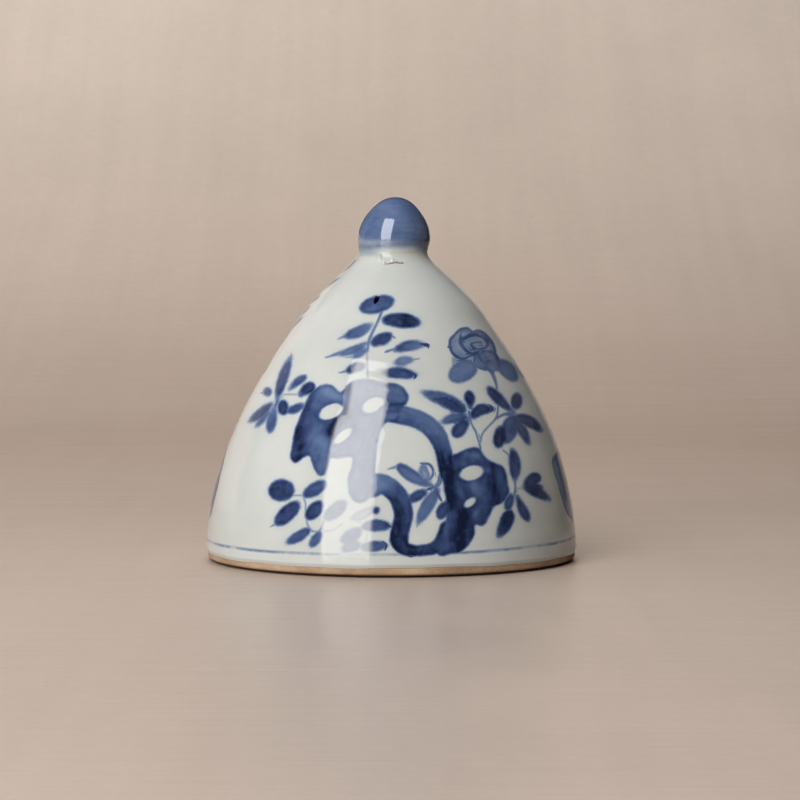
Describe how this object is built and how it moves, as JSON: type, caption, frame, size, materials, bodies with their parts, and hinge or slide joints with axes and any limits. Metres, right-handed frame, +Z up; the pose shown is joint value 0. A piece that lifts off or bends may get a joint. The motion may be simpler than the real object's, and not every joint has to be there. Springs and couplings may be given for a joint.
{
  "type": "calligraphy water dropper",
  "caption": "Small bullet-shaped blue and white porcelain water dropper with an egg-shaped knob, a drip hole in the shoulder and a filling tube rising from the base.",
  "frame": {"origin": "middle of the foot, on the surface that the dropper stands on", "axes": "+Z up along the turning axis; -Y is the front of the painting and the side of the drip hole; +X to the right seen from the front"},
  "size_m": [0.065, 0.065, 0.063],
  "materials": {
    "white_clay": "unglazed fired porcelain, matt, fine throwing lines",
    "bare_foot": "bare porcelain flashed buff in the kiln, matt and slightly gritty",
    "slip": "brushed porcelain slip, matt",
    "painted_glaze": "glossy bluish-white glaze over cobalt brush painting",
    "blue_glaze": "glossy clear glaze over a cobalt wash, paler towards the neck"
  },
  "bodies": {
    "root": {"thrown_wall": "white_clay", "base_slab": "bare_foot", "filling_tube": "white_clay", "knob": "white_clay", "wall_luting_slip": "slip", "tube_luting_slip": "slip", "knob_luting_slip": "slip", "body_glaze": "painted_glaze", "knob_glaze": "blue_glaze"}
  },
  "joints": []
}
